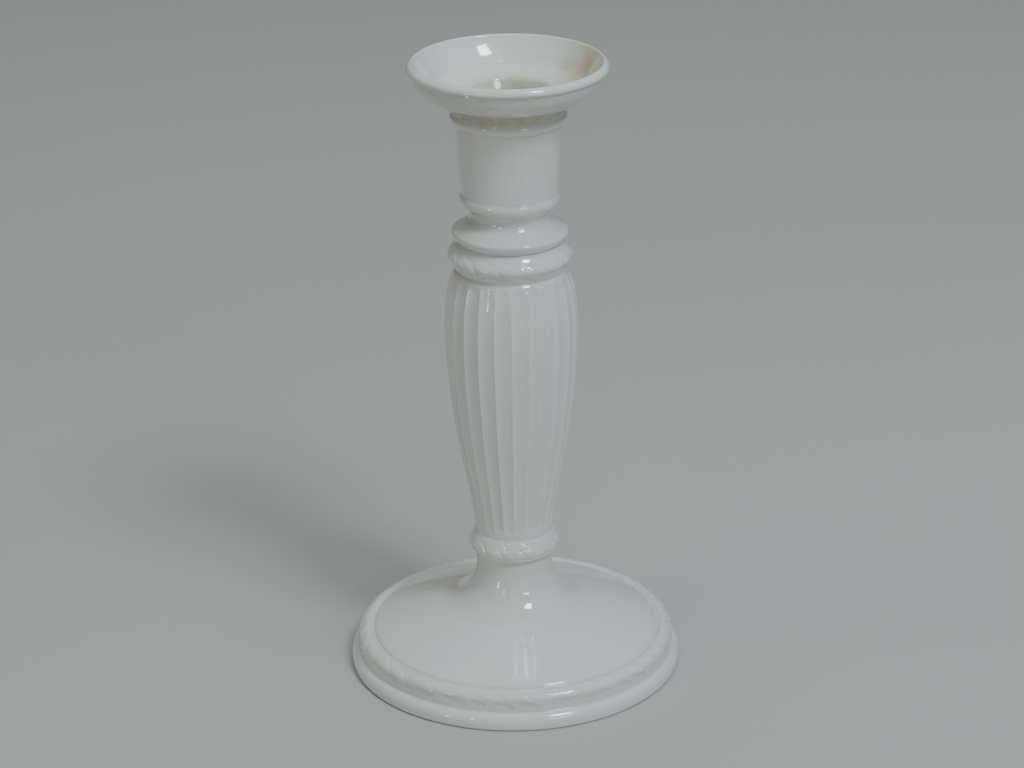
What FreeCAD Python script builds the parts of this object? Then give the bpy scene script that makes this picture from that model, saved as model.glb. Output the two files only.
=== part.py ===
"""Parametric model of a glazed earthenware candlestick, in millimetres.

The candlestick stands on the XY plane with its axis on +Z and its origin in the
middle of the foot's resting ring. It is a stack of hollow clay members that meet
in the grooves between the mouldings: a foot rim and a foot dome, a lower leaf
collar, a fluted column, an upper leaf collar, a shoulder knop, a candle socket
and a drip pan. All but the fluted column are turned shapes, each revolved from
an outline whose corners and round stretches are bound to the size sheet.
"""

import FreeCAD, Part

import math
import os

import Sketcher

VECTOR = FreeCAD.Vector

# Sizes that more than one member reads. Seams are the heights where members meet.
SHARED_SIZES = {
    "total_height": 215.0,
    "seam_pan": 198.3,
    "seam_socket": 163.0,
    "seam_knop": 154.2,
    "seam_upper_collar": 144.2,
    "seam_column": 49.4,
    "seam_lower_collar": 41.0,
    "seam_foot_low": 8.2,
    "seam_foot_high": 12.2,
    "bore_radius": 11.5,
    "bore_floor": 171.0,
    "pan_seat_radius": 18.7,
    "socket_seat_radius": 13.1,
    "knop_seat_radius": 17.4,
    "upper_collar_seat_radius": 18.2,
    "column_seat_radius": 13.3,
    "foot_seat_radius": 13.0,
    "foot_seam_radius": 49.1,
    "upper_vent_radius": 9.0,
    "lower_vent_radius": 10.1,
}

# Sizes of the fluted column. The flutes fade out into a plain band at each end.
COLUMN_SIZES = {
    "flute_count": 24,
    "flute_depth": 0.75,
    "flute_fade": 7.0,
    "column_sections": 19,
    "column_shoulder": 140.6,
}

# Each outline runs anticlockwise round its section in the half plane of radius
# and height. A row is the corner's name, its radius, its height, and the radius
# of the stretch that leads to it: 0 is straight, a positive value swells out of
# the clay and a negative one hollows it. A word stands for a shared size.
OUTLINES = {
    "foot_rim": [
        ("rest_inner", 52.0, 0.0, 1.0),
        ("rest_outer", 56.2, 0.0, 0),
        ("ring_heel", 57.0, 0.9, 0.95),
        ("ring_side", 57.0, 2.2, 0),
        ("ring_top", 55.6, 5.2, 3.4),
        ("recess", 54.3, 5.8, 0),
        ("border_face", 54.3, 9.8, 0),
        ("border_shoulder", 52.9, 11.9, 2.6),
        ("border_crest", 50.6, 12.7, 2.6),
        ("groove", "foot_seam_radius", "seam_foot_high", -2.4),
        ("seam_inner", "foot_seam_radius", "seam_foot_low", 0),
        ("wall_top", 51.0, 4.2, -6.0),
        ("wall_bottom", 51.0, 1.0, 0),
    ],
    "foot_dome": [
        ("seam_bottom", "foot_seam_radius", "seam_foot_low", 0),
        ("seam_top", "foot_seam_radius", "seam_foot_high", 0),
        ("dome_edge", 47.9, 13.2, 1.6),
        ("dome_top", 24.2, 21.7, 300.0),
        ("throat_top", 12.95, 37.0, -16.0),
        ("neck_outer", "foot_seat_radius", "seam_lower_collar", 0),
        ("neck_inner", "lower_vent_radius", "seam_lower_collar", 0),
        ("vent_bottom", "lower_vent_radius", 32.5, 0),
        ("ceiling_top", 19.5, 18.6, 17.0),
        ("ceiling_edge", 45.5, 9.1, 0),
    ],
    "lower_leaf_collar": [
        ("bottom_outer", "foot_seat_radius", "seam_lower_collar", 0),
        ("leaf_swell", 15.3, 43.4, 3.0),
        ("leaf_top", 14.9, 46.4, 3.6),
        ("top_outer", "column_seat_radius", "seam_column", 9.0),
        ("top_inner", "lower_vent_radius", "seam_column", 0),
        ("bottom_inner", "lower_vent_radius", "seam_lower_collar", 0),
    ],
    "upper_leaf_collar": [
        ("bottom_outer", "upper_collar_seat_radius", "seam_upper_collar", 0),
        ("leaf_swell", 20.6, 148.0, 14.0),
        ("leaf_top", 20.3, 150.5, 1.9),
        ("top_outer", "knop_seat_radius", "seam_knop", -14.0),
        ("top_inner", "upper_vent_radius", "seam_knop", 0),
        ("bottom_inner", "upper_vent_radius", "seam_upper_collar", 0),
    ],
    "shoulder_knop": [
        ("bottom_outer", "knop_seat_radius", "seam_knop", 0),
        ("torus_edge", 19.5, 157.2, 4.5),
        ("torus_top", 18.5, 158.2, 1.1),
        ("slope_top", 14.9, 160.2, 0),
        ("top_outer", "socket_seat_radius", "seam_socket", -3.4),
        ("top_inner", "upper_vent_radius", "seam_socket", 0),
        ("bottom_inner", "upper_vent_radius", "seam_knop", 0),
    ],
    "candle_socket": [
        ("floor_centre", 0.0, "seam_socket", 0),
        ("bottom_outer", "socket_seat_radius", "seam_socket", 0),
        ("low_bead_bottom", 15.4, 166.7, -4.0),
        ("low_bead_top", 16.0, 170.6, 2.6),
        ("cup_side", 17.3, 191.0, 0),
        ("top_bead_bottom", 17.5, 194.9, 0),
        ("top_outer", "pan_seat_radius", "seam_pan", 1.95),
        ("mouth", "bore_radius", "seam_pan", 0),
        ("bore_edge", "bore_radius", "bore_floor", 0),
        ("bore_centre", 0.0, "bore_floor", 0),
    ],
    "drip_pan": [
        ("seat_outer", "pan_seat_radius", "seam_pan", 0),
        ("cove_bottom", 19.1, 200.4, 0),
        ("cove_top", 21.2, 202.1, -2.6),
        ("underside", 28.0, 205.2, 45.0),
        ("band_bottom", 29.7, 206.7, 4.0),
        ("band_top", 32.0, 211.7, 7.5),
        ("recess", 31.9, 212.7, 0),
        ("lip_outer", 33.0, 213.3, 0.9),
        ("lip_top", 31.2, "total_height", 2.2),
        ("lip_inner", 30.6, 214.2, 0.9),
        ("bowl_side", 29.9, 212.4, 0),
        ("bowl_wall", 27.0, 208.6, -30.0),
        ("bowl_turn", 23.0, 206.6, -6.0),
        ("bowl_floor", 14.9, 205.4, -60.0),
        ("mouth", 13.4, 204.0, 1.7),
        ("throat", "bore_radius", "seam_pan", 0),
    ],
}

# Points that the column's outer side passes through, from its foot to its head.
COLUMN_SIDE = [
    ("foot", "column_seat_radius", "seam_column"),
    ("ankle", 13.65, 54.0),
    ("shin", 14.9, 62.0),
    ("knee", 16.4, 70.0),
    ("waist", 18.25, 80.0),
    ("ribs", 21.1, 101.0),
    ("chest", 22.25, 122.0),
    ("shoulder", 21.3, 136.0),
    ("nape", 20.3, 140.2),
    ("collar", 19.4, 142.6),
    ("head", "upper_collar_seat_radius", "seam_upper_collar"),
]

# Points that the column's cavity passes through, from its foot to its shoulder.
COLUMN_CAVITY = [
    ("foot", "lower_vent_radius", "seam_column"),
    ("ankle", 10.4, 56.0),
    ("waist", 14.2, 84.0),
    ("ribs", 16.6, 104.0),
    ("chest", 17.6, 122.0),
    ("shoulder", 15.8, 134.5),
    ("ceiling", 11.5, "column_shoulder"),
]


def add_size(sheet, alias, value):
    """Write one number on the sheet's next free row and name its cell."""
    row = len(sheet.getUsedCells()) // 2 + 1
    sheet.set(f"A{row}", alias)
    sheet.set(f"B{row}", str(value))
    sheet.setAlias(f"B{row}", alias)


def cell_name(sheet, member, corner, kind, value):
    """Return the alias that holds a corner's size, adding it if it is a number."""
    if isinstance(value, str):
        return value
    alias = f"{member}_{corner}_{kind}"
    add_size(sheet, alias, abs(value))
    return alias


def make_sheet(document):
    """Put the shared sizes and the column's sizes on the size sheet."""
    sheet = document.addObject("Spreadsheet::Sheet", "Sizes")
    for alias, value in {**SHARED_SIZES, **COLUMN_SIZES}.items():
        add_size(sheet, alias, value)
    document.recompute()
    return sheet


def read_corners(document, sheet, member, rows):
    """Turn outline rows into corners with their cells' names and numbers."""
    named = []
    for corner, radius, height, bend in rows:
        radius_cell = cell_name(sheet, member, corner, "radius", radius)
        height_cell = cell_name(sheet, member, corner, "height", height)
        bend_cell = cell_name(sheet, member, corner, "bend", bend) if bend else None
        named.append((radius_cell, height_cell, bend_cell, math.copysign(1, bend)))
    document.recompute()
    corners = []
    for radius_cell, height_cell, bend_cell, sense in named:
        point = VECTOR(sheet.get(radius_cell), sheet.get(height_cell), 0)
        corners.append({
            "radius": radius_cell,
            "height": height_cell,
            "bend": bend_cell,
            "sense": sense,
            "point": point,
        })
    return corners


def arc_between(start, end, bend, sense):
    """Return the short arc of one radius from start to end, swelling or hollow."""
    chord = end - start
    left = VECTOR(-chord.y, chord.x, 0).normalize()
    offset = math.sqrt(bend ** 2 - (chord.Length / 2) ** 2)
    centre = (start + end) / 2 + left * (offset * sense)
    first, last = (start, end) if sense > 0 else (end, start)
    first_angle = math.atan2(first.y - centre.y, first.x - centre.x)
    last_angle = math.atan2(last.y - centre.y, last.x - centre.x)
    circle = Part.Circle(centre, VECTOR(0, 0, 1), bend)
    return Part.ArcOfCircle(circle, first_angle, last_angle)


def draw_side(sketch, sheet, start, end):
    """Draw one side of an outline; return its index and its start and end points."""
    if end["bend"] is None:
        line = Part.LineSegment(start["point"], end["point"])
        return sketch.addGeometry(line, False), 1, 2
    bend = sheet.get(end["bend"])
    arc = arc_between(start["point"], end["point"], bend, end["sense"])
    index = sketch.addGeometry(arc, False)
    constraint = sketch.addConstraint(Sketcher.Constraint("Radius", index, bend))
    sketch.setExpression(f"Constraints[{constraint}]", f"Sizes.{end['bend']}")
    return (index, 1, 2) if end["sense"] > 0 else (index, 2, 1)


def place_corner(sketch, side, corner):
    """Hold a side's start point at the corner's radius and height."""
    index, start_point, _ = side
    sizes = (("DistanceX", corner["point"].x, corner["radius"], -2),
             ("DistanceY", corner["point"].y, corner["height"], -1))
    for kind, value, cell, axis in sizes:
        if value == 0:
            on_axis = Sketcher.Constraint("PointOnObject", index, start_point, axis)
            sketch.addConstraint(on_axis)
            continue
        distance = Sketcher.Constraint(kind, -1, 1, index, start_point, value)
        constraint = sketch.addConstraint(distance)
        sketch.setExpression(f"Constraints[{constraint}]", f"Sizes.{cell}")


def draw_outline(sketch, sheet, corners):
    """Draw a closed outline through the corners and bind it to the sheet."""
    sides = []
    for number, corner in enumerate(corners):
        following = corners[(number + 1) % len(corners)]
        sides.append(draw_side(sketch, sheet, corner, following))
    for number, side in enumerate(sides):
        following = sides[(number + 1) % len(sides)]
        join = Sketcher.Constraint("Coincident", side[0], side[2], following[0], following[1])
        sketch.addConstraint(join)
        place_corner(sketch, side, corners[number])


def origin_plane(body, role):
    """Find one of a body's own origin planes by its role."""
    return next(item for item in body.Origin.OriginFeatures if item.Role == role)


def turned_member(document, sheet, member):
    """Make a body by revolving the member's outline round the candlestick's axis."""
    body = document.addObject("PartDesign::Body", member)
    body.Label = member
    sketch = body.newObject("Sketcher::SketchObject", f"{member}_outline")
    sketch.AttachmentSupport = [(origin_plane(body, "XZ_Plane"), "")]
    sketch.MapMode = "FlatFace"
    corners = read_corners(document, sheet, member, OUTLINES[member])
    draw_outline(sketch, sheet, corners)
    document.recompute()
    revolution = body.newObject("PartDesign::Revolution", f"{member}_turned")
    revolution.Profile = sketch
    revolution.ReferenceAxis = (sketch, ["V_Axis"])
    revolution.Angle = 360
    sketch.Visibility = False
    document.recompute()
    return body


def side_points(document, sheet, name, rows):
    """Put a column outline's points on the sheet and return them in the XZ plane."""
    cells = []
    for point, radius, height in rows:
        radius_cell = cell_name(sheet, name, point, "radius", radius)
        height_cell = cell_name(sheet, name, point, "height", height)
        cells.append((radius_cell, height_cell))
    document.recompute()
    return [VECTOR(sheet.get(radius), 0, sheet.get(height)) for radius, height in cells]


def smooth_curve(points):
    """Return one smooth curve through the points."""
    curve = Part.BSplineCurve()
    curve.interpolate(points)
    return curve


def flute_reach(sheet, height):
    """Return how deep the flutes are at a height: full depth between two fades."""
    low = (height - sheet.seam_column) / sheet.flute_fade
    high = (sheet.seam_upper_collar - height) / sheet.flute_fade
    part = max(0.0, min(1.0, low, high))
    return sheet.flute_depth * part * part * (3 - 2 * part)


def fluted_ring(sheet, radius, height):
    """Return a closed ring of flat-bottomed flutes between ridges at one height."""
    depth = flute_reach(sheet, height)
    corners_per_flute = 3
    count = int(sheet.flute_count)
    points = []
    for step in range(count * corners_per_flute + 1):
        turn = 2 * math.pi * step / (count * corners_per_flute)
        on_ridge = step % corners_per_flute == 0
        reach = radius if on_ridge else radius - depth
        points.append(VECTOR(reach * math.cos(turn), reach * math.sin(turn), height))
    return Part.makePolygon(points)


def column_cavity(document, sheet):
    """Return the hollow inside the column, with its vent through the shoulder."""
    points = side_points(document, sheet, "column_cavity", COLUMN_CAVITY)
    side = smooth_curve(points).toShape()
    foot, ceiling = points[0], points[-1]
    vent = sheet.upper_vent_radius
    shoulder = sheet.column_shoulder
    top = sheet.seam_upper_collar
    corners = [
        ceiling,
        VECTOR(vent, 0, shoulder),
        VECTOR(vent, 0, top),
        VECTOR(0, 0, top),
        VECTOR(0, 0, foot.z),
        foot,
    ]
    edges = [Part.LineSegment(a, b).toShape() for a, b in zip(corners, corners[1:])]
    face = Part.Face(Part.Wire([side] + edges))
    return face.revolve(VECTOR(0, 0, 0), VECTOR(0, 0, 1), 360)


def fluted_column(document, sheet):
    """Loft the fluted rings into the column, which swells and tapers, and hollow it."""
    points = side_points(document, sheet, "column_side", COLUMN_SIDE)
    side = smooth_curve(points)
    sections = int(sheet.column_sections)
    rings = []
    for number in range(sections):
        share = number / (sections - 1)
        low, high = side.FirstParameter, side.LastParameter
        point = side.value(low + (high - low) * share)
        rings.append(fluted_ring(sheet, point.x, point.z))
    solid = Part.makeLoft(rings, True, False)
    column = document.addObject("Part::Feature", "fluted_column")
    column.Label = "fluted_column"
    column.Shape = solid.cut(column_cavity(document, sheet))
    return column


def check_members(document, members):
    """Stop if any object has failed or any member isn't one closed solid."""
    for item in document.Objects:
        if "Invalid" in item.State or "Error" in item.State:
            raise RuntimeError(f"{item.Name} did not compute: {item.State}")
    for member in members:
        shape = member.Shape
        if shape.isNull() or not shape.isValid() or len(shape.Solids) != 1:
            raise RuntimeError(f"{member.Label} is not one valid solid")
        print(f"{member.Label}: {shape.Volume / 1000:.2f} cm3")


def write_members(members):
    """Write each member to its own file, named by its label."""
    os.makedirs("parts", exist_ok=True)
    for member in members:
        member.Shape.exportStep(f"parts/{member.Label}.step")


def main():
    """Build the candlestick, check it and write its members."""
    document = FreeCAD.newDocument("Candlestick")
    sheet = make_sheet(document)
    members = [turned_member(document, sheet, member) for member in OUTLINES]
    members.append(fluted_column(document, sheet))
    document.recompute()
    check_members(document, members)
    write_members(members)


main()
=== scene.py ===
"""The looks of a glazed earthenware candlestick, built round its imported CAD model.

Sizes are written in millimetres and turned into metres where a mesh is made.
Azimuth 0 is the side that faces the camera, and it grows to the right.
"""

import math

import bmesh
import bpy
import numpy as np
from mathutils import Euler, Matrix, Vector


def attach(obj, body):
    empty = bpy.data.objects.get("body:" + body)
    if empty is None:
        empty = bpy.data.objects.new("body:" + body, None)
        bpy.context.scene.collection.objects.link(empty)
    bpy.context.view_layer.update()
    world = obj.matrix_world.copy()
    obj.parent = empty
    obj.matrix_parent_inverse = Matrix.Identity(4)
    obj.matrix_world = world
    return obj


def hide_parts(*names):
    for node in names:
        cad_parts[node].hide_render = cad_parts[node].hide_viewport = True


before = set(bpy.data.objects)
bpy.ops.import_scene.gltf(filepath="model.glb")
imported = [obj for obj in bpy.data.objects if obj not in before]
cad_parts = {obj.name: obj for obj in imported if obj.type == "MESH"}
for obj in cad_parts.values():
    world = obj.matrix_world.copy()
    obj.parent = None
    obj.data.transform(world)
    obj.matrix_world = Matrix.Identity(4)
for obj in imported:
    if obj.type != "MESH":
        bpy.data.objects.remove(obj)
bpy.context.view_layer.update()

MM = 0.001
BODY = "root"

# ---------------------------------------------------------------------------
# Outlines. A row is the corner's radius and height, and the radius of the round
# stretch that leads to it: 0 is straight, positive swells out, negative hollows.
# ---------------------------------------------------------------------------

# The outer side from the resting ring up to the mouth of the socket's bore. The
# word is the member that the stretch starts, and members meet at those corners.
OUTER_SIDE = [
    ("foot_rim", 56.2, 0.0, 0),
    ("", 57.0, 0.9, 0.95),
    ("", 57.0, 2.2, 0),
    ("", 55.6, 5.2, 3.4),
    ("", 54.3, 5.8, 0),
    ("", 54.3, 9.8, 0),
    ("", 52.9, 11.9, 2.6),
    ("", 50.6, 12.6, 2.6),
    ("foot_dome", 49.1, 12.1, -2.0),
    ("", 47.9, 13.2, 1.4),
    ("", 24.2, 21.7, 300.0),
    ("", 12.95, 37.0, -16.0),
    ("lower_leaf_collar", 13.0, 41.0, 0),
    ("", 15.0, 43.0, 3.0),
    ("", 14.7, 46.6, 3.8),
    ("fluted_column", 13.3, 49.4, 9.0),
    ("", 13.65, 54.0, -60.0),
    ("", 14.9, 62.0, -64.0),
    ("", 16.4, 70.0, -290.0),
    ("", 18.25, 80.0, 0),
    ("", 19.9, 90.5, 230.0),
    ("", 21.1, 101.0, 230.0),
    ("", 21.95, 112.0, 260.0),
    ("", 22.3, 122.0, 200.0),
    ("", 22.0, 131.0, 110.0),
    ("", 21.35, 136.0, 60.0),
    ("", 20.35, 140.2, 42.0),
    ("", 19.4, 142.6, 16.0),
    ("upper_leaf_collar", 18.2, 144.2, 4.0),
    ("", 20.3, 148.0, 14.0),
    ("", 20.0, 150.6, 2.0),
    ("shoulder_knop", 17.3, 154.2, -14.0),
    ("", 19.5, 157.2, 4.5),
    ("", 18.5, 158.2, 1.1),
    ("", 14.9, 160.2, 0),
    ("candle_socket", 13.1, 163.0, -3.4),
    ("", 15.4, 166.7, -4.0),
    ("", 16.0, 170.6, 2.6),
    ("", 17.3, 191.0, 0),
    ("", 17.5, 194.9, 0),
    ("drip_pan", 18.7, 198.3, 1.95),
    ("", 19.1, 200.4, 0),
    ("", 21.2, 202.1, -2.6),
    ("", 27.6, 204.8, 45.0),
    ("", 29.5, 206.6, 3.6),
    ("", 31.7, 211.7, 7.5),
    ("", 31.55, 212.6, 0),
    ("", 33.15, 213.35, 0.9),
    ("", 31.2, 215.1, 2.2),
    ("", 30.6, 214.3, 0.9),
    ("", 27.0, 208.6, -30.0),
    ("", 23.0, 206.55, -6.0),
    ("", 14.9, 205.4, -60.0),
    ("", 13.4, 204.0, 1.7),
    ("", 11.55, 198.3, 0),
]

# The unseen rest of each member's section, from the end of its outer stretch
# round to the start of it.
INNER_SIDES = {
    "foot_rim": [(49.1, 8.2, 0), (51.0, 4.2, -6.0), (51.0, 1.0, 0), (52.0, 0.0, 1.0)],
    "foot_dome": [(10.1, 41.0, 0), (10.1, 32.5, 0), (19.5, 18.6, 17.0), (45.5, 9.1, 0), (49.1, 8.2, 0)],
    "lower_leaf_collar": [(10.1, 49.4, 0), (10.1, 41.0, 0)],
    "fluted_column": [(9.0, 144.2, 0), (9.0, 140.6, 0), (11.5, 140.6, 0), (15.8, 134.5, -9.0),
                      (17.4, 122.0, -24.0), (14.2, 84.0, -160.0), (10.4, 56.0, -220.0), (10.1, 49.4, 0)],
    "upper_leaf_collar": [(9.0, 154.2, 0), (9.0, 144.2, 0)],
    "shoulder_knop": [(9.0, 163.0, 0), (9.0, 154.2, 0)],
    "candle_socket": [(11.5, 198.3, 0), (11.5, 171.6, 0), (10.9, 171.0, -0.6), (0.0, 171.0, 0), (0.0, 163.0, 0)],
    "drip_pan": [],
}

# How far apart points lie along each member's outer side, and round it.
STEP = {
    "foot_rim": 0.25,
    "foot_dome": 0.8,
    "lower_leaf_collar": 0.17,
    "fluted_column": 0.75,
    "upper_leaf_collar": 0.2,
    "shoulder_knop": 0.3,
    "candle_socket": 0.35,
    "drip_pan": 0.36,
}
SEGMENTS = {
    "foot_rim": 1080,
    "foot_dome": 240,
    "lower_leaf_collar": 420,
    "fluted_column": 432,
    "upper_leaf_collar": 512,
    "shoulder_knop": 288,
    "candle_socket": 288,
    "drip_pan": 560,
}
GLAZE_SOFTNESS = 0.26  # how far the glaze rounds the corners of the outline


def stretch(start, end, bend, step):
    """Return points from start to end, without the end, on a line or an arc."""
    start, end = np.array(start, float), np.array(end, float)
    chord = end - start
    length = float(np.hypot(*chord))
    if not bend:
        count = max(1, round(length / step))
        return start + chord * (np.arange(count) / count)[:, None]
    sense = math.copysign(1, bend)
    radius = abs(bend)
    left = np.array([-chord[1], chord[0]]) / length
    centre = (start + end) / 2 + left * sense * math.sqrt(radius**2 - (length / 2) ** 2)
    first = math.atan2(*(start - centre)[::-1])
    turn = 2 * math.asin(length / 2 / radius) * sense
    count = max(2, round(abs(turn) * radius / step))
    angles = first + turn * np.arange(count) / count
    return centre + radius * np.stack([np.cos(angles), np.sin(angles)], 1)


def soften(points, reach):
    """Round an open outline's corners, as a coat of glaze does, keeping its ends."""
    steps = np.hypot(*np.diff(points, axis=0).T)
    along = np.concatenate([[0], np.cumsum(steps)])
    result = points.copy()
    for number in range(1, len(points) - 1):
        near = min(reach, along[number] / 3, (along[-1] - along[number]) / 3)
        low = np.searchsorted(along, along[number] - 3 * near)
        high = np.searchsorted(along, along[number] + 3 * near) + 1
        weights = np.exp(-((along[low:high] - along[number]) / near) ** 2 / 2)
        spans = np.gradient(along)[low:high]
        result[number] = (points[low:high] * (weights * spans)[:, None]).sum(0) / (weights * spans).sum()
    return result


def outer_stretches():
    """Return each member's softened outer side, from the seam below to the one above."""
    points, seams, member = [], [], ""
    for number, (name, radius, height, _) in enumerate(OUTER_SIDE):
        if name:
            member = name
            seams.append((member, sum(len(part) for part in points)))
        if number + 1 < len(OUTER_SIDE):
            _, next_radius, next_height, bend = OUTER_SIDE[number + 1]
            points.append(stretch((radius, height), (next_radius, next_height), bend, STEP[member]))
    points.append(np.array([OUTER_SIDE[-1][1:3]], float))
    side = soften(np.concatenate(points), GLAZE_SOFTNESS)
    normals = side_normals(side)
    ends = [start for _, start in seams[1:]] + [len(side) - 1]
    return {
        member: (side[start : end + 1], normals[start : end + 1])
        for (member, start), end in zip(seams, ends)
    }


def side_normals(side):
    """Return the outward normal at each point of an outline that runs upwards."""
    tangent = np.gradient(side, axis=0)
    normal = np.stack([tangent[:, 1], -tangent[:, 0]], 1)
    return normal / np.linalg.norm(normal, axis=1)[:, None]


# ---------------------------------------------------------------------------
# Relief: heights in millimetres over the outer side, as arrays of points.
# ---------------------------------------------------------------------------

def smooth_step(value):
    value = np.clip(value, 0, 1)
    return value * value * (3 - 2 * value)


def soft_max(first, second, reach):
    """Return the higher of two heights, with the crease between them filled in."""
    mix = np.clip(0.5 + (first - second) / (2 * reach), 0, 1)
    return first * mix + second * (1 - mix) + reach * mix * (1 - mix)


def one_leaf(along, across, length, width, height):
    """Return the height of a pointed leaf with a sunk midrib and faint side veins."""
    a = along / (length / 2)
    inside = np.clip(1 - a * a, 0, 1)
    half_width = width / 2 * inside**0.72 * (1 - 0.22 * a) + 1e-6
    b = across / half_width
    body = np.clip(1 - b * b, 0, 1) ** 0.75 * np.clip(inside * 3.0, 0, 1) ** 0.5
    rise = 0.72 + 0.28 * a
    rib = 0.18 * np.exp(-((across / (0.085 * width)) ** 2))
    veins = 0.05 * np.cos(2 * math.pi * (along / (0.13 * length) - np.abs(across) / (0.22 * width)))
    return height * body * (rise - rib + veins)


def leaf_row(azimuth, up, row, radius, seed):
    """Return a ring of slanted, overlapping leaves, each a little different."""
    draw = np.random.default_rng(seed)
    count = row["count"]
    pitch = 2 * math.pi * radius / count
    wobble = draw.uniform(-1, 1, (count, 4))
    place = azimuth / (2 * math.pi) * count - row.get("shift", 0)
    nearest = np.round(place)
    result = np.zeros_like(azimuth + up)
    for neighbour in (-2, -1, 0, 1, 2):
        leaf = nearest + neighbour
        vary = wobble[leaf.astype(int) % count]
        x = (place - leaf) * pitch + 0.18 * pitch * vary[..., 0]
        y = up - row["middle"]
        slant = np.radians(row["slant"] + 13 * vary[..., 1])
        along = x * np.cos(slant) + y * np.sin(slant)
        across = -x * np.sin(slant) + y * np.cos(slant)
        length = row["length"] * (1 + 0.15 * vary[..., 2])
        height = row["height"] * (1 + 0.30 * vary[..., 3])
        result = soft_max(result, one_leaf(along, across, length, row["width"], height), 0.07)
    return result


LEAF_BANDS = {
    "foot_rim": {
        "low": (54.3, 5.9), "high": (50.4, 12.7), "radius": 53.9, "rows": [
            {"count": 38, "middle": 1.3, "slant": -26, "length": 10.6, "width": 4.8, "height": 0.39},
            {"count": 38, "middle": 3.0, "slant": -14, "length": 6.6, "width": 2.6, "height": 0.2, "shift": 0.5},
            {"count": 38, "middle": -1.9, "slant": -12, "length": 7.2, "width": 3.1, "height": 0.26,
             "shift": 0.5, "sunk": True},
        ]},
    "lower_leaf_collar": {
        "low": (13.3, 41.4), "high": (13.6, 48.9), "radius": 14.6, "rows": [
            {"count": 13, "middle": 0.8, "slant": -28, "length": 9.4, "width": 4.8, "height": 0.46},
            {"count": 13, "middle": 2.9, "slant": -12, "length": 5.6, "width": 2.6, "height": 0.24, "shift": 0.5},
            {"count": 13, "middle": -1.7, "slant": -10, "length": 5.6, "width": 2.2, "height": 0.28,
             "shift": 0.5, "sunk": True},
        ]},
    "upper_leaf_collar": {
        "low": (18.5, 144.8), "high": (18.3, 152.6), "radius": 20.4, "rows": [
            {"count": 16, "middle": 0.9, "slant": -26, "length": 11.2, "width": 5.4, "height": 0.5},
            {"count": 16, "middle": 3.4, "slant": -13, "length": 6.4, "width": 3.0, "height": 0.26, "shift": 0.5},
            {"count": 16, "middle": -2.0, "slant": -10, "length": 6.6, "width": 2.7, "height": 0.32,
             "shift": 0.5, "sunk": True},
        ]},
    "drip_pan": {
        "low": (28.9, 205.9), "high": (31.75, 212.2), "radius": 31.2, "rows": [
            {"count": 42, "middle": 0.2, "slant": -62, "length": 7.2, "width": 3.9, "height": 0.17},
            {"count": 42, "middle": -2.1, "slant": -75, "length": 3.6, "width": 2.6, "height": 0.1, "shift": 0.5},
        ]},
}


def nearest_point(side, place):
    return int(np.argmin(np.hypot(*(side - np.array(place)).T)))


def leaf_relief(member, side, azimuth):
    """Return the relief of a member's leaf band over its outer side."""
    band = LEAF_BANDS[member]
    steps = np.hypot(*np.diff(side, axis=0).T)
    along = np.concatenate([[0], np.cumsum(steps)])
    low = along[nearest_point(side, band["low"])]
    high = along[nearest_point(side, band["high"])]
    up = (along - (low + high) / 2)[:, None]
    half = (high - low) / 2
    result = np.zeros((len(side), len(azimuth)))
    for number, row in enumerate(band["rows"]):
        relief = leaf_row(azimuth[None, :], up, row, band["radius"], 40 + number)
        result = result - relief if row.get("sunk") else soft_max(result, relief, 0.08)
    fade = smooth_step((half + 0.4 - np.abs(up)) / 0.9)
    worn = 0.86 + 0.14 * np.sin(7 * azimuth + 0.4 * up) * np.sin(17 * azimuth - 0.7 * up + 2.0)
    return result * fade * worn


FLUTE_COUNT = 24
FLUTE_DEPTH = 0.60
FLUTE_LOW = 50.8
FLUTE_HIGH = 143.4


def flute_relief(side, azimuth):
    """Return the depth of hollow flutes with round ends and soft ridges between."""
    height = side[:, 1][:, None]
    radius = side[:, 0][:, None]
    turn = (azimuth * FLUTE_COUNT / (2 * math.pi))[None, :]
    across = 2 * np.abs(turn - np.round(turn))
    across = 1 - across
    hollow = np.clip(1 - across * across, 0, 1) ** 0.8
    half_width = math.pi * radius / FLUTE_COUNT
    arch = half_width * (1 - np.sqrt(np.clip(1 - across * across, 0, 1)))
    top = smooth_step((FLUTE_HIGH - height - arch) / 2.2)
    bottom = smooth_step((height - FLUTE_LOW - arch) / 3.0)
    scale = np.clip(radius / 22.0, 0, 1) ** 0.8
    return -FLUTE_DEPTH * scale * hollow * top * bottom


def member_relief(member, side, azimuth):
    """Return the whole relief of a member over its outer side."""
    relief = np.zeros((len(side), len(azimuth)))
    if member in LEAF_BANDS:
        relief = relief + leaf_relief(member, side, azimuth)
    if member == "fluted_column":
        relief = relief + flute_relief(side, azimuth)
    return relief


# ---------------------------------------------------------------------------
# Meshes
# ---------------------------------------------------------------------------

def inner_points(member, start):
    """Return the points of a member's inner side, which continue from start."""
    points = []
    for radius, height, bend in INNER_SIDES[member]:
        points.extend(stretch(start, (radius, height), bend, 1.2)[1:])
        points.append(np.array([radius, height]))
        start = (radius, height)
    return np.array(points).reshape(-1, 2)


# How fully glaze pools, and how dark the painted shade is, per millimetre of crease: the column's wide flutes
# hold little.
POOL_AND_SHADE_RATE = {"fluted_column": 1.2, "foot_rim": 6.5}
POOL_AND_SHADE_RATE_ELSEWHERE = 7.0


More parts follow.
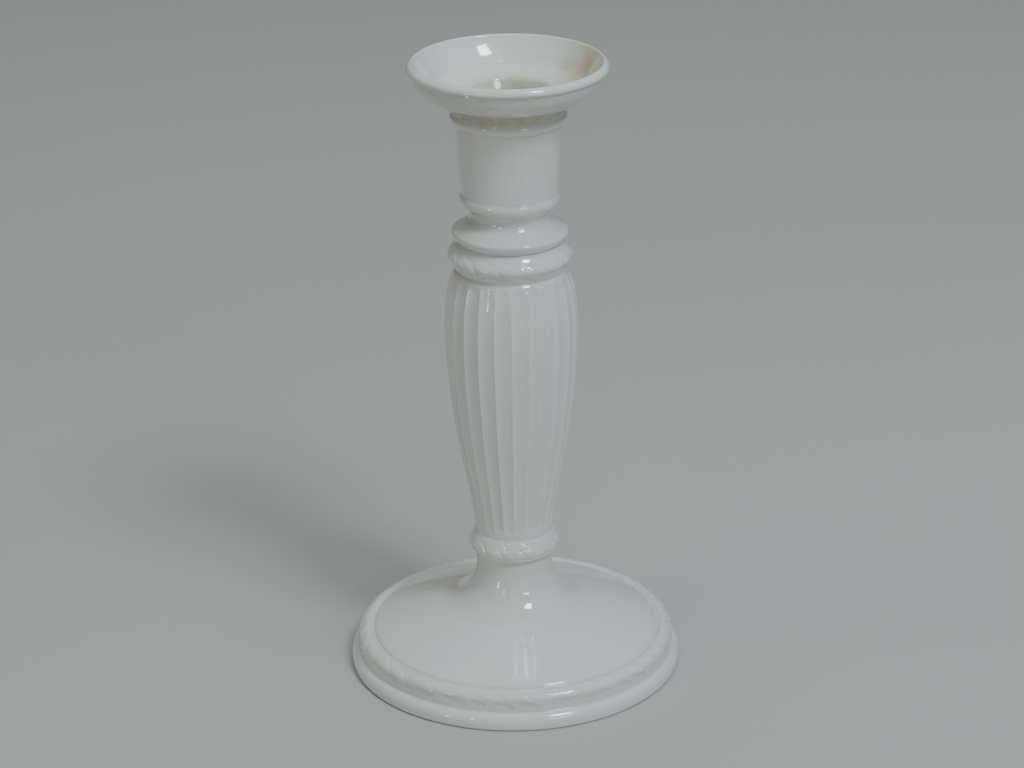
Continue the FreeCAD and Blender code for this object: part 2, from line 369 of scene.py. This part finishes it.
def pooled_glaze_and_shade(relief, side, pool_and_shade_rate):
    """Return how much pooled glaze and painted shade each point gets: 1 in creases and hollows of the outline, 0
    on crests.
    """
    bend = np.gradient(np.gradient(side, axis=0), axis=0)
    normal = side_normals(side)
    hollow = np.clip((bend * normal).sum(1) * 9, 0, 1)[:, None]
    blurred = relief.copy()
    for _ in range(6):
        blurred = (blurred + np.roll(blurred, 3, 1) + np.roll(blurred, -3, 1)) / 3
        blurred[1:-1] = (blurred[1:-1] + blurred[2:] + blurred[:-2]) / 3
    crease = np.clip((blurred - relief) * pool_and_shade_rate, 0, 1)
    return np.clip(hollow * 0.6 + crease, 0, 1)


def warp(points):
    """Bend the ware a little out of true, as firing does."""
    x, y, z = points[:, 0], points[:, 1], points[:, 2]
    lean = (z / 215.0) ** 2
    points[:, 0] = x + 0.10 * lean * np.sin(3.1 * z / 215.0)
    points[:, 1] = y + 0.08 * lean * np.sin(2.3 * z / 215.0 + 1.0)
    return points


def section_grid(member, side, normals, azimuth, relief):
    """Return the radius and height of every point."""
    inner = inner_points(member, tuple(side[-1]))
    ones = np.ones((1, len(azimuth)))
    radius = side[:, :1] + normals[:, :1] * relief
    height = side[:, 1:] + normals[:, 1:] * relief
    if len(inner):
        radius = np.concatenate([radius, inner[:, :1] * ones])
        height = np.concatenate([height, inner[:, 1:] * ones])
    return radius, height


def ring_faces(radius):
    """Return the quads between neighbouring rows, leaving out rows on the axis."""
    rows, columns = radius.shape
    row = np.arange(rows)
    following = (row + 1) % rows
    off_axis = (radius[row].max(1) > 0) | (radius[following].max(1) > 0)
    row = row[off_axis][:, None]
    following = following[off_axis][:, None]
    column = np.arange(columns)[None, :]
    next_column = (column + 1) % columns
    corners = [
        row * columns + column,
        row * columns + next_column,
        following * columns + next_column,
        following * columns + column,
    ]
    return np.stack(corners, -1).reshape(-1, 4)


def make_member(member, side, normals, material):
    """Build one member's closed mesh: a relief-covered outside and a plain inside."""
    columns = SEGMENTS[member]
    azimuth = 2 * math.pi * np.arange(columns) / columns
    relief = member_relief(member, side, azimuth)
    radius, height = section_grid(member, side, normals, azimuth, relief)
    points = np.stack([radius * np.sin(azimuth), -radius * np.cos(azimuth), height], -1)
    points = warp(points.reshape(-1, 3))
    mesh = bpy.data.meshes.new(member + "_glazed")
    mesh.from_pydata((points * MM).tolist(), [], ring_faces(radius).tolist())
    # Pooled glaze plus painted shade in creases and hollows, stored per point for the material.
    pool_and_shade = np.zeros(radius.shape)
    pool_and_shade_rate = POOL_AND_SHADE_RATE.get(member, POOL_AND_SHADE_RATE_ELSEWHERE)
    pool_and_shade[: len(side)] = pooled_glaze_and_shade(relief, side, pool_and_shade_rate)
    attribute = mesh.attributes.new("pool_and_shade", "FLOAT", "POINT")
    attribute.data.foreach_set("value", pool_and_shade.reshape(-1))
    weld = bmesh.new()
    weld.from_mesh(mesh)
    bmesh.ops.remove_doubles(weld, verts=weld.verts, dist=1e-7)
    weld.to_mesh(mesh)
    weld.free()
    mesh.shade_smooth()
    mesh.set_sharp_from_angle(angle=math.radians(55))
    mesh.materials.append(material)
    piece = bpy.data.objects.new(member + "_glazed", mesh)
    bpy.context.scene.collection.objects.link(piece)
    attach(piece, BODY)
    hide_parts(member)
    return piece


# ---------------------------------------------------------------------------
# Material
# ---------------------------------------------------------------------------

class Nodes:
    """A short way to add nodes to one material and join them."""

    def __init__(self, material):
        self.tree = material.node_tree
        self.tree.nodes.clear()

    def add(self, kind, inputs=None, **settings):
        node = self.tree.nodes.new(kind)
        for name, value in settings.items():
            setattr(node, name, value)
        for name, value in (inputs or {}).items():
            if isinstance(value, bpy.types.NodeSocket):
                self.tree.links.new(value, node.inputs[name])
            else:
                node.inputs[name].default_value = value
        return node

    def math(self, operation, first, second=0.0, clamp=False):
        node = self.add("ShaderNodeMath", {0: first, 1: second}, operation=operation, use_clamp=clamp)
        return node.outputs[0]

    def ramp(self, value, low, high):
        """Rise smoothly from 0 at low to 1 at high; low may be above high."""
        inputs = {"Value": value, "From Min": low, "From Max": high}
        node = self.add("ShaderNodeMapRange", inputs, interpolation_type="SMOOTHSTEP")
        return node.outputs["Result"]

    def noise(self, vector, scale, detail=2.0, roughness=0.5):
        inputs = {"Vector": vector, "Scale": scale, "Detail": detail, "Roughness": roughness}
        return self.add("ShaderNodeTexNoise", inputs).outputs["Fac"]

    def blend(self, factor, first, second):
        inputs = {"Factor": factor, "A": first, "B": second}
        node = self.add("ShaderNodeMix", data_type="RGBA")
        for name, value in inputs.items():
            socket = next(s for s in node.inputs if s.name == name and s.type in ("VALUE", "RGBA") and s.enabled)
            if isinstance(value, bpy.types.NodeSocket):
                self.tree.links.new(value, socket)
            else:
                socket.default_value = value
        return next(s for s in node.outputs if s.enabled)

    def multiply(self, *values):
        result = values[0]
        for value in values[1:]:
            result = self.math("MULTIPLY", result, value)
        return result


CREAM = (0.775, 0.765, 0.70, 1)
CREAM_COOL = (0.74, 0.745, 0.70, 1)
# Colour of pooled glaze, also used as painted shade in creases and hollows.
POOLED_GLAZE_AND_SHADE = (0.50, 0.47, 0.35, 1)
RUN = (0.60, 0.565, 0.49, 1)
OCHRE = (0.52, 0.39, 0.18, 1)
# Colour of grime and stains, also used as painted shade under the pan and on its band.
BROWN = (0.27, 0.17, 0.06, 1)
SPECK = (0.13, 0.09, 0.06, 1)
BISCUIT = (0.70, 0.63, 0.50, 1)


def distance_to(nodes, position, centre, stretch_by=(1, 1, 1)):
    """Return each point's distance from a centre, in millimetres."""
    offset = nodes.add("ShaderNodeVectorMath", {0: position, 1: centre}, operation="SUBTRACT")
    scaled = nodes.add("ShaderNodeVectorMath", {0: offset.outputs[0], 1: stretch_by}, operation="MULTIPLY")
    length = nodes.add("ShaderNodeVectorMath", {0: scaled.outputs[0]}, operation="LENGTH")
    return length.outputs["Value"]


def radius_from_axis(nodes, position):
    flat = nodes.add("ShaderNodeVectorMath", {0: position, 1: (1, 1, 0)}, operation="MULTIPLY")
    length = nodes.add("ShaderNodeVectorMath", {0: flat.outputs[0]}, operation="LENGTH")
    return length.outputs["Value"]


# Ochre stains, and one painted warm shade and reflection on the dome: the centre, how far each reaches, its solid
# core, its strength.
OCHRE_STAINS_AND_SHADE = [
    ((25.5, 11.0, 210.5), 19.0, 2.0, 1.1),
    ((4.0, 12.0, 205.5), 20.0, 8.0, 0.28),
    ((-15.5, -6.0, 159.5), 9.0, 1.0, 0.40),
    # Painted warm shade and reflection on the dome, behind the column at its left.
    ((-22.0, 20.0, 22.0), 26.0, 5.0, 0.55),
]


def ochre_stain_and_shade_mask(nodes, position, height, radius):
    """Return how strongly each point is tinted ochre: real stains, and painted warm shade and reflection on the
    dome behind the column.
    """
    cloudy = nodes.math("ADD", nodes.ramp(nodes.noise(position, 0.10, 2.0, 0.5), 0.25, 0.75), 0.5)
    streaky = nodes.ramp(nodes.noise(position, 0.45, 5.0, 0.7), 0.4, 0.68)
    near_mouth = nodes.multiply(nodes.ramp(radius, 16.2, 13.6), nodes.ramp(height, 201.0, 204.0))
    back_right = nodes.ramp(distance_to(nodes, position, (5.0, 13.0, 205.0)), 20.0, 8.0)
    result = nodes.multiply(near_mouth, back_right, nodes.math("ADD", nodes.multiply(streaky, 0.5), 0.5))
    for centre, reach, core, strength in OCHRE_STAINS_AND_SHADE:
        spot = nodes.ramp(distance_to(nodes, position, centre), reach, core)
        result = nodes.math("MAXIMUM", result, nodes.multiply(spot, cloudy, strength))
    return result


def brown_grime_and_shade_mask(nodes, position, height, radius):
    """Return how strongly each point is browned: real grime in the bore, a stain plus painted shade in the cove
    under the pan, and a faint stain plus painted shade on the pan's outer band, the shade stronger to the right.
    """
    streaky = nodes.ramp(nodes.noise(position, 0.45, 5.0, 0.7), 0.4, 0.68)
    in_bore = nodes.multiply(nodes.ramp(radius, 13.6, 12.4), nodes.ramp(height, 168.0, 172.0))
    back_right = nodes.ramp(distance_to(nodes, position, (7.0, 10.0, 202.0)), 15.0, 4.0)
    worn = nodes.math("ADD", nodes.multiply(streaky, 0.3), 0.45)
    grime = nodes.math("ADD", nodes.multiply(back_right, worn), 0.1)
    bore_grime = nodes.multiply(in_bore, grime)
    # Painted shade under the pan's overhang, together with a real stain, in the cove below it.
    under = nodes.multiply(nodes.ramp(height, 197.9, 199.1), nodes.ramp(height, 204.8, 202.0))
    across = nodes.multiply(nodes.ramp(radius, 18.0, 18.5), nodes.ramp(radius, 26.0, 20.5))
    right_end = nodes.ramp(distance_to(nodes, position, (19.0, 0.0, 200.4)), 16.0, 3.0)
    left_end = nodes.ramp(distance_to(nodes, position, (-19.0, 0.0, 200.4)), 11.0, 3.0)
    ends = nodes.math("ADD", nodes.multiply(right_end, 0.5), nodes.multiply(left_end, 0.35))
    density = nodes.math("ADD", nodes.math("ADD", nodes.multiply(streaky, 0.3), 0.50), ends)
    cove_stain_and_shade = nodes.multiply(under, across, density)
    # A faint speckled stain on the pan's outer band, plus painted shade.
    on_band = nodes.multiply(nodes.ramp(height, 203.8, 205.6), nodes.ramp(height, 213.6, 211.5))
    outside = nodes.ramp(nodes.math("SUBTRACT", radius, nodes.multiply(height, 0.75)), -126.9, -126.2)
    # Painted shade, growing towards the right of the band.
    painted_shade_to_right = nodes.ramp(distance_to(nodes, position, (30.0, -6.0, 208.0)), 46.0, 4.0)
    streaks = nodes.math("ADD", nodes.multiply(streaky, 0.20), 0.12)
    band_stain_and_shade = nodes.math("ADD", streaks, nodes.multiply(painted_shade_to_right, 0.26))
    band = nodes.multiply(on_band, outside, band_stain_and_shade)
    return nodes.math("MAXIMUM", bore_grime, nodes.math("MAXIMUM", cove_stain_and_shade, band))


def speck_mask(nodes, position):
    """Return a few dark iron specks in the glaze, each about 0.3 mm across."""
    cells = nodes.add("ShaderNodeTexVoronoi", {"Vector": position, "Scale": 0.13})
    chance = nodes.add("ShaderNodeSeparateColor", {0: cells.outputs["Color"]}).outputs[0]
    rare = nodes.math("GREATER_THAN", chance, 0.8)
    near = nodes.ramp(cells.outputs["Distance"], 0.045, 0.022)
    return nodes.multiply(rare, near)


def glaze_runs(nodes, position, height):
    """Return faint upright runs in the glaze, on the upright members above the foot."""
    drawn = nodes.add("ShaderNodeVectorMath", {0: position, 1: (1, 1, 0.1)}, operation="MULTIPLY")
    runs = nodes.ramp(nodes.noise(drawn.outputs[0], 0.7, 3.0, 0.6), 0.42, 0.72)
    return nodes.multiply(runs, nodes.ramp(height, 30.0, 60.0))


def creamware():
    """Return the glossy cream glaze, with pooled glaze, stains, specks and bare clay, and painted shade in
    creases, under the pan, on the pan's band and on the dome behind the column.
    """
    material = bpy.data.materials.new("cream_glaze")
    material.use_nodes = True
    nodes = Nodes(material)
    coordinates = nodes.add("ShaderNodeTexCoord").outputs["Object"]
    position = nodes.add("ShaderNodeVectorMath", {0: coordinates, 1: (1000, 1000, 1000)},
                         operation="MULTIPLY").outputs[0]
    height = nodes.add("ShaderNodeSeparateXYZ", {0: position}).outputs["Z"]
    radius = radius_from_axis(nodes, position)
    pool_and_shade = nodes.add("ShaderNodeAttribute", attribute_name="pool_and_shade").outputs["Fac"]
    drift = nodes.ramp(nodes.noise(position, 0.022, 3.0), 0.35, 0.65)
    colour = nodes.blend(drift, CREAM, CREAM_COOL)
    mottle = nodes.ramp(nodes.noise(position, 0.3, 4.0, 0.65), 0.3, 0.8)
    colour = nodes.blend(nodes.multiply(mottle, 0.10), colour, (0.70, 0.66, 0.55, 1))
    colour = nodes.blend(nodes.multiply(glaze_runs(nodes, position, height), 0.16), colour, RUN)
    # Pooled glaze plus painted shade, darkening creases and hollows.
    colour = nodes.blend(nodes.multiply(pool_and_shade, 0.42), colour, POOLED_GLAZE_AND_SHADE)
    ochre = ochre_stain_and_shade_mask(nodes, position, height, radius)
    brown = brown_grime_and_shade_mask(nodes, position, height, radius)
    # Ochre: real stains, and painted warm shade and reflection on the dome behind the column.
    colour = nodes.blend(nodes.multiply(ochre, 0.62), colour, OCHRE)
    # Brown: real grime in the bore, and stain plus painted shade under the pan and on its band.
    colour = nodes.blend(nodes.multiply(brown, 0.8), colour, BROWN)
    colour = nodes.blend(speck_mask(nodes, position), colour, SPECK)
    bare = nodes.multiply(nodes.ramp(height, 0.35, 0.15), 1.0)
    colour = nodes.blend(bare, colour, BISCUIT)
    rough = nodes.math("ADD", 0.085, nodes.multiply(brown, 0.45))
    rough = nodes.math("ADD", rough, nodes.multiply(mottle, 0.04))
    rough = nodes.math("MAXIMUM", rough, nodes.multiply(bare, 0.85))
    ripple = nodes.noise(position, 0.22, 1.5)
    peel = nodes.noise(position, 1.1, 2.0)
    relief = nodes.math("ADD", nodes.multiply(ripple, 0.030), nodes.multiply(peel, 0.0035))
    bump = nodes.add("ShaderNodeBump", {"Height": relief, "Strength": 1.0, "Distance": 0.001})
    shader = nodes.add("ShaderNodeBsdfPrincipled", {
        "Base Color": colour,
        "Roughness": rough,
        "IOR": 1.5,
        "Subsurface Weight": 0.08,
        "Subsurface Radius": (1.0, 0.8, 0.55),
        "Subsurface Scale": 0.002,
        "Coat Weight": 1.0,
        "Coat Roughness": 0.018,
        "Coat IOR": 1.5,
        "Normal": bump.outputs["Normal"],
        "Coat Normal": bump.outputs["Normal"],
    })
    nodes.add("ShaderNodeOutputMaterial", {"Surface": shader.outputs[0]})
    return material


# ---------------------------------------------------------------------------
# Studio
# ---------------------------------------------------------------------------

def make_camera():
    """Look down at the candlestick from in front, from about a metre away."""
    data = bpy.data.cameras.new("camera")
    data.sensor_width = 36.0
    data.lens = 106.9
    camera = bpy.data.objects.new("camera", data)
    pitch, roll = 0.3963, -0.0135
    turn = Euler((math.pi / 2 - pitch, 0, 0)).to_matrix() @ Matrix.Rotation(roll, 3, "Z")
    camera.matrix_world = Matrix.Translation((0, -0.9464, 0.4978)) @ turn.to_4x4()
    bpy.context.scene.collection.objects.link(camera)
    bpy.context.scene.camera = camera


def make_light(name, azimuth, elevation, distance, size, power, colour, mirrored=True):
    """Hang a rectangular lamp that faces the candlestick; the glaze may mirror it."""
    data = bpy.data.lights.new(name, "AREA")
    data.shape = "RECTANGLE"
    data.size, data.size_y = size
    data.energy = power
    data.color = colour
    lamp = bpy.data.objects.new(name, data)
    turn, tilt = math.radians(azimuth), math.radians(elevation)
    aim = Vector((0, 0, 0.1))
    away = Vector((math.sin(turn) * math.cos(tilt), -math.cos(turn) * math.cos(tilt), math.sin(tilt)))
    lamp.location = aim + away * distance
    lamp.rotation_euler = away.to_track_quat("Z", "Y").to_euler()
    lamp.visible_glossy = mirrored
    bpy.context.scene.collection.objects.link(lamp)


def make_floor():
    """Lay a plain pale floor that curves up into a backdrop far behind."""
    half_width, front, back, top, curve = 3.0, -2.2, 2.4, 2.4, 0.6
    line = [(front, 0.0)]
    for number in range(13):
        angle = math.radians(90 * number / 12)
        line.append((back - curve + curve * math.sin(angle), curve - curve * math.cos(angle)))
    line.append((back, top))
    points = [(side * half_width, y, z) for y, z in line for side in (-1, 1)]
    faces = [(2 * n, 2 * n + 1, 2 * n + 3, 2 * n + 2) for n in range(len(line) - 1)]
    mesh = bpy.data.meshes.new("floor")
    mesh.from_pydata(points, [], faces)
    mesh.shade_smooth()
    material = bpy.data.materials.new("plain_floor")
    material.use_nodes = True
    shader = material.node_tree.nodes["Principled BSDF"]
    shader.inputs["Base Color"].default_value = (0.47, 0.445, 0.41, 1)
    shader.inputs["Roughness"].default_value = 0.75
    mesh.materials.append(material)
    floor = bpy.data.objects.new("floor", mesh)
    bpy.context.scene.collection.objects.link(floor)


def make_studio():
    make_camera()
    make_floor()
    make_light("upper_window", 40, 52, 1.6, (0.30, 0.35), 9.5, (0.84, 0.94, 1.0))
    make_light("lower_window", 31, 22, 1.6, (0.42, 0.13), 2.2, (0.84, 0.94, 1.0))
    make_light("daylight_right", 30, 56, 2.2, (1.5, 1.2), 14, (0.44, 0.78, 1.0), mirrored=False)
    make_light("sky_right", 84, 38, 2.2, (1.6, 1.6), 2.0, (0.34, 0.70, 1.0))
    make_light("lamp_left", -46, 3, 1.6, (0.05, 0.34), 0.8, (1.0, 0.98, 0.94))
    make_light("lamp_door", -29, 16, 1.6, (0.05, 0.26), 0.5, (1.0, 0.98, 0.94))
    make_light("daylight_left", -60, 48, 2.2, (1.4, 1.4), 4, (1.0, 0.96, 0.88), mirrored=False)
    make_light("overhead", 180, 84, 2.2, (1.8, 1.8), 20, (0.86, 0.95, 1.0), mirrored=False)
    make_light("ceiling_strip", 165, 77, 1.7, (0.02, 0.09), 0.17, (1.0, 0.99, 0.96))
    world = bpy.data.worlds.new("studio")
    world.use_nodes = True
    background = world.node_tree.nodes["Background"]
    background.inputs["Color"].default_value = (0.98, 0.98, 0.96, 1)
    background.inputs["Strength"].default_value = 0.13
    bpy.context.scene.world = world


make_studio()
glaze = creamware()
for member, (side, normals) in outer_stretches().items():
    make_member(member, side, normals, glaze)
